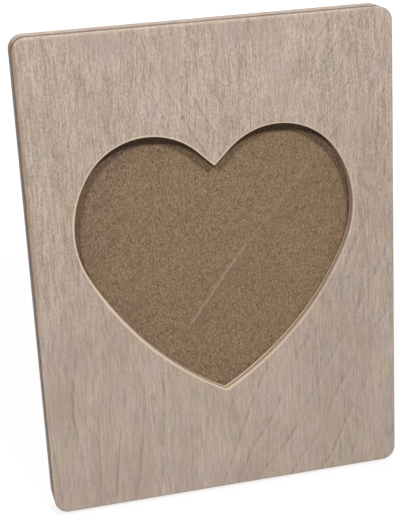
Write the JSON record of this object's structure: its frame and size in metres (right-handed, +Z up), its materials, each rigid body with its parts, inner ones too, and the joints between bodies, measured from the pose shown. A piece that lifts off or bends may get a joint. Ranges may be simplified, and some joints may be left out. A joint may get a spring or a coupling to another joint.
{
  "type": "photo frame",
  "caption": "Plywood photo frame with a heart shaped window, a glazed pocket closed by turn buttons, and a hinged easel strut that lets it lean back on a table.",
  "frame": {"origin": "on the table under the middle of the footprint, standing on the strut", "axes": "front faces -Y, +X to the viewer's right, +Z up; the face leans back by 12 degrees"},
  "size_m": [0.16, 0.076, 0.2084],
  "materials": {
    "panel_plywood": "bare sanded birch plywood, fine vertical grain",
    "frame_wood": "bare sanded wood, edge grain",
    "clear_glass": "clear, lightly scuffed",
    "hardboard": "smooth brown hardboard",
    "strut_hardboard": "smooth brown hardboard",
    "plated_steel": "zinc plated, satin",
    "button_steel": "zinc plated, satin",
    "screw_steel": "zinc plated",
    "rivet_steel": "zinc plated, domed"
  },
  "bodies": {
    "frame": {"front_panel": "panel_plywood", "rear_frame": "frame_wood", "glazing": "clear_glass", "backing_board": "hardboard", "button_screw_upper_left": "screw_steel", "button_screw_upper_right": "screw_steel", "button_screw_lower_left": "screw_steel", "button_screw_lower_right": "screw_steel", "hinge_board_leaf": "plated_steel", "hinge_pin": "plated_steel", "board_rivet_left": "rivet_steel", "board_rivet_right": "rivet_steel"},
    "strut_leg": {"strut": "strut_hardboard", "hinge_strut_leaf": "plated_steel", "strut_rivet_left": "rivet_steel", "strut_rivet_right": "rivet_steel"},
    "button_upper_left": {"turn_button_upper_left": "button_steel"},
    "button_upper_right": {"turn_button_upper_right": "button_steel"},
    "button_lower_left": {"turn_button_lower_left": "button_steel"},
    "button_lower_right": {"turn_button_lower_right": "button_steel"}
  },
  "joints": [
    {"name": "strut_fold", "type": "hinge", "parent": "frame", "child": "strut_leg", "pos_m": [0, 0.00732, 0.16206], "axis": [-1, 0, 0], "range_deg": [0, 22]},
    {"name": "button_turn_upper_left", "type": "hinge", "parent": "frame", "child": "button_upper_left", "pos_m": [-0.06925, 0.00511, 0.15742], "axis": [0, 0.9781, -0.2079], "range_deg": [-90, 90]},
    {"name": "button_turn_upper_right", "type": "hinge", "parent": "frame", "child": "button_upper_right", "pos_m": [0.06925, 0.00511, 0.15742], "axis": [0, 0.9781, -0.2079], "range_deg": [-90, 90]},
    {"name": "button_turn_lower_left", "type": "hinge", "parent": "frame", "child": "button_lower_left", "pos_m": [-0.06925, -0.01776, 0.04982], "axis": [0, 0.9781, -0.2079], "range_deg": [-90, 90]},
    {"name": "button_turn_lower_right", "type": "hinge", "parent": "frame", "child": "button_lower_right", "pos_m": [0.06925, -0.01776, 0.04982], "axis": [0, 0.9781, -0.2079], "range_deg": [-90, 90]}
  ]
}
